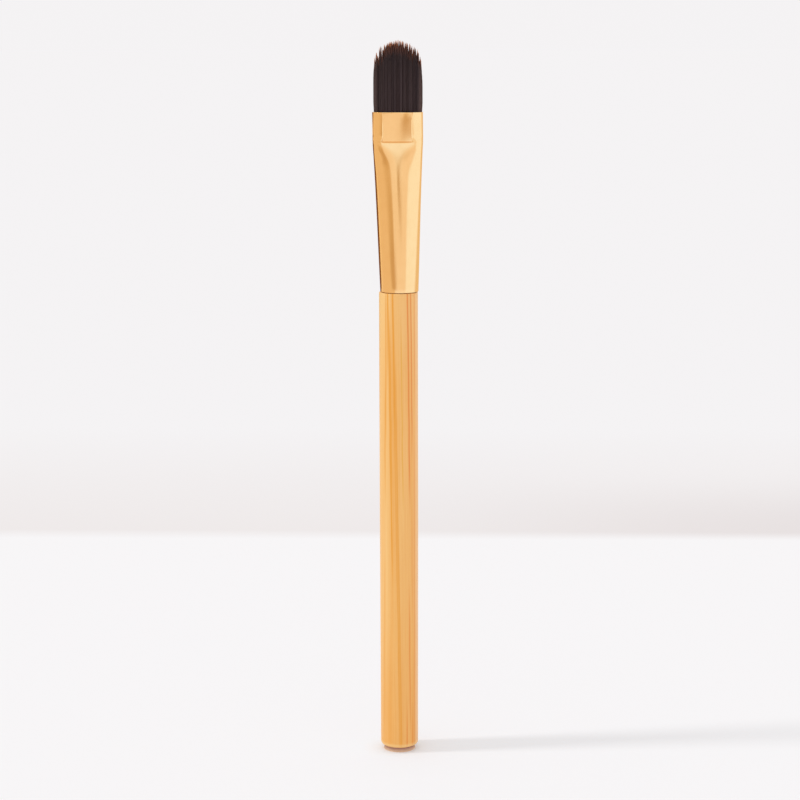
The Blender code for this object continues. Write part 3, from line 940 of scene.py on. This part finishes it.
def makeTable():
    bm = bmesh.new()
    bmesh.ops.create_grid(bm, x_segments=1, y_segments=1, size=table["size"] / 2)
    bmesh.ops.translate(bm, verts=bm.verts, vec=(0, 0, table["height"]))
    material, tree, shader = newMaterial("whiteTable", **{"Roughness": 0.9, "Specular IOR Level": 0.0})
    obj = addObject("table", bm, material)
    obj.rotation_euler.z = math.radians(camera["turn"])
    coordinates = addNode(tree, "TexCoord").outputs["Object"]
    place = addNode(tree, "SeparateXYZ", {0: coordinates}).outputs
    behind = maths(tree, "ADD", place["Y"], maths(tree, "MULTIPLY", place["X"], table["backEdgeSlant"]))
    colours = [fromScreen(*table[name]) for name in ("floorColour", "wallFootShadeColour", "wallColour")]
    colour = colourRamp(tree, behind, table["wallReach"], zip(table["wallBehind"], colours))
    shade = maths(tree, "MULTIPLY", windowMask(tree, behind, table["shadeBehind"]),
                  windowMask(tree, place["X"], table["shadeSide"]))
    colour = blendColours(tree, shade, colour, multiplyColours(tree, colour, table["shade"]))
    # cooler near the foot: painted light
    foot = addNode(tree, "CombineXYZ", {"X": table["coolSide"]}).outputs[0]
    away = addNode(tree, "VectorMath", {0: coordinates, 1: foot}, operation="DISTANCE").outputs["Value"]
    near = maths(tree, "DIVIDE", table["coolReach"], away, clamp=True)
    cool = multiplyColours(tree, colour, table["cool"])
    tree.links.new(blendColours(tree, near, colour, cool), shader.inputs["Base Color"])


# The dot of putty that the brush stands on. Its colour, dark at the top and warm below, stands in for the
# shadow in the gap under the foot and the warm light the bamboo bounces into it: painted shade and painted
# bounce light
puttyAndShade = {
    "radius": 0.0037,
    "taper": 0.0003,
    "shadedTopColour": (0.34, 0.15, 0.14, 1),
    "footColour": (0.80, 0.56, 0.38, 1),
}


def makePuttyAndShade():
    bm = bmesh.new()
    bmesh.ops.create_cone(bm, cap_ends=True, segments=64, radius1=puttyAndShade["radius"],
                          radius2=puttyAndShade["radius"] - puttyAndShade["taper"], depth=-table["height"])
    bmesh.ops.translate(bm, verts=bm.verts, vec=(0, 0, table["height"] / 2))
    material, tree, shader = newMaterial("puttyAndShade", **{"Roughness": 0.9, "Specular IOR Level": 0.0})
    addObject("puttyAndShade", bm, material)
    height = useGroup(tree, compass)["Height"]
    # darker towards the top: painted shade under the foot
    share = maths(tree, "DIVIDE", height, 1000 * table["height"], clamp=True)
    colour = blendColours(tree, share, puttyAndShade["shadedTopColour"], puttyAndShade["footColour"])
    tree.links.new(colour, shader.inputs["Base Color"])


# The cards: a round screen of light that only the brush mirrors
cards = {
    "distance": 0.2,
    "height": 0.9,
    # degrees from the camera's side, and the light there
    "aroundReach": (-180, 180),
    "around": (
        (-180, (1.00, 0.87, 0.72)), (-24.5, (1.00, 0.87, 0.72)), (-20.5, (1.10, 1.09, 1.12)),
        (26, (1.10, 1.09, 1.14)), (31, (1.18, 1.40, 1.82)), (97, (1.20, 1.42, 1.84)),
        (112, (1.00, 0.92, 0.78)), (150, (0.97, 0.80, 0.50)), (180, (0.88, 0.62, 0.32)),
    ),
    # height in millimetres, and the light in front there
    "frontReach": (80, 210),
    "front": (
        (80, (1.16, 1.28, 1.58)), (88, (1.14, 1.18, 1.35)), (95, (1.12, 1.11, 1.20)),
        (113, (1.115, 1.10, 1.18)), (116, (1.10, 1.06, 1.10)), (131, (1.10, 1.07, 1.11)),
        (144, (1.12, 1.10, 1.17)), (150, (1.13, 1.16, 1.27)), (160, (1.165, 1.39, 1.85)),
        (180, (1.165, 1.39, 1.85)), (200, (1.05, 1.0, 0.98)),
    ),
    # where the front and the darker and brighter lights on it lie, round in degrees or up in
    # millimetres. Some lean: they shift sideways by so many degrees for each millimetre of height
    "frontFromLeft": ((-28.5, -24.5), (170, 180)),
    "frontFromRight": ((-180, -170), (26, 31)),
    "frontLean": 0.3,
    "leanTop": 137.6,
    "leanFoot": 112,
    "dip": (0.80, 0.635, 0.415, 1),
    "dipAround": ((-56, -31), (-28.5, -24.5)),
    "dipUp": ((101, 106), (132, 146)),
    "dipFoot": (0.71, 0.545, 0.335, 1),
    "dipFootUp": ((101, 106), (112, 124)),
    "panel": (0.74, 0.565, 0.375, 1),
    "panelAround": ((-50, -34), (-27, -7)),
    "panelUp": ((72, 110), (112, 115)),
    "streak": (0.60, 0.43, 0.17, 1),
    "streakAround": ((-7, -2.5), (1, 7)),
    "streakUp": ((119, 137), (141, 153)),
    "streakLean": 0.9,
    "streakReach": 3,
    # the bright and dark lines down the metal's left edge, which narrow towards the foot
    "bright": (1.13, 1.01, 0.79, 1),
    "brightAround": ((-190, -180), (-98, -88)),
    "dark": (0.22, 0.095, 0.03, 1),
    "darkAround": ((-400, -300), (-110, -106)),
    "tubeUp": ((-2, -1), (126, 132)),
    "mouthUp": ((134, 141), (150, 160)),
    "edgeLean": 0.65,
    "edgeLeanTop": 118,
}


def makeCards():
    bm = bmesh.new()
    bmesh.ops.create_cone(bm, cap_ends=False, segments=180, radius1=cards["distance"],
                          radius2=cards["distance"], depth=cards["height"])
    bmesh.ops.translate(bm, verts=bm.verts, vec=(0, 0, cards["height"] / 2))
    material, tree, shader = newMaterial("cardLight", **{"Base Color": (0, 0, 0, 1), "Roughness": 1,
                                                         "Specular IOR Level": 0.0,
                                                         "Emission Strength": 1.0})
    obj = addObject("cards", bm, material)
    obj.rotation_euler.z = math.radians(camera["turn"])
    obj.visible_camera = False
    obj.visible_diffuse = False
    obj.visible_shadow = False
    obj.visible_transmission = False
    compassPlace = useGroup(tree, compass)
    angle, height = compassPlace["Angle"], compassPlace["Height"]

    def band(value, name):
        return windowMask(tree, value, cards[name])

    def lay(light, first, second, name):  # lays one of the lights where both masks are
        return blendColours(tree, maths(tree, "MULTIPLY", first, second), light, cards[name])

    def leaning(below, lean):
        return maths(tree, "SUBTRACT", angle, maths(tree, "MULTIPLY", below, lean))

    light = lightRamp(tree, angle, cards["aroundReach"], cards["around"])
    below = maths(tree, "SUBTRACT", cards["leanTop"], maths(tree, "MAXIMUM", height, cards["leanFoot"]))
    front = maths(tree, "MULTIPLY", band(angle, "frontFromLeft"),
                  band(leaning(below, cards["frontLean"]), "frontFromRight"))
    light = blendColours(tree, front, light, lightRamp(tree, height, cards["frontReach"], cards["front"]))
    dip = band(angle, "dipAround")
    light = lay(light, dip, band(height, "dipUp"), "dip")
    light = lay(light, dip, band(height, "dipFootUp"), "dipFoot")
    light = lay(light, band(angle, "panelAround"), band(height, "panelUp"), "panel")
    streak = leaning(maths(tree, "MAXIMUM", below, -cards["streakReach"]), cards["streakLean"])
    light = lay(light, band(streak, "streakAround"), band(height, "streakUp"), "streak")
    below = maths(tree, "MAXIMUM", maths(tree, "SUBTRACT", cards["edgeLeanTop"], height), 0)
    edge = leaning(below, -cards["edgeLean"])
    tube = band(height, "tubeUp")
    light = lay(light, band(edge, "brightAround"), tube, "bright")
    light = lay(light, band(edge, "darkAround"), maths(tree, "ADD", tube, band(height, "mouthUp")), "dark")
    tree.links.new(light, shader.inputs["Emission Color"])


# The lamp's size and direction are in degrees
lamp = {
    "power": 0.55,
    "size": 6.5,
    "up": 48,
    "around": -84.3,
}


def makeLamp():
    data = bpy.data.lights.new("softLamp", "SUN")
    data.energy = lamp["power"]
    data.angle = math.radians(lamp["size"])
    obj = bpy.data.objects.new("softLamp", data)
    up = math.radians(lamp["up"])
    around = math.radians(lamp["around"] + camera["turn"])
    toLamp = Vector((math.sin(around) * math.cos(up), -math.cos(around) * math.cos(up), math.sin(up)))
    obj.rotation_euler = toLamp.to_track_quat("Z", "Y").to_euler()
    obj.location = toLamp
    bpy.context.scene.collection.objects.link(obj)


# The world lights with one colour and shows the camera another
sky = {
    "light": (0.872, 0.872, 0.872, 1),
    "screenColour": (244.5, 242.5, 243.5),
}


def makeSky():
    world = bpy.data.worlds.new("studio")
    bpy.context.scene.world = world
    world.use_nodes = True
    tree = world.node_tree
    seen = addNode(tree, "LightPath").outputs["Is Camera Ray"]
    colour = blendColours(tree, seen, sky["light"], fromScreen(*sky["screenColour"]))
    tree.links.new(colour, tree.nodes["Background"].inputs["Color"])


makeCamera()
makeTable()
makePuttyAndShade()
makeCards()
makeLamp()
makeSky()
bpy.context.scene.view_settings.view_transform = "Standard"
print("studio made")

makeFerrule(makeGold())
makeHandle(makeBamboo())
filaments = planFilaments()
print("filaments planned:", len(filaments))
filamentMaterial = makeBristle()
outerFilaments = [filament for filament in filaments if filament["outer"]]
innerFilaments = [filament for filament in filaments if not filament["outer"]]
makeFilaments("filamentsOuter", outerFilaments, tuft["outerRings"], filamentMaterial)
makeFilaments("filamentsInner", innerFilaments, tuft["innerRings"], filamentMaterial)
makeThread(makeHidden("cotton"))
for node, look in (("resin_plug", "resin"), ("tenon_glue", "glue")):
    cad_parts[node].material_slots[0].material = makeHidden(look)
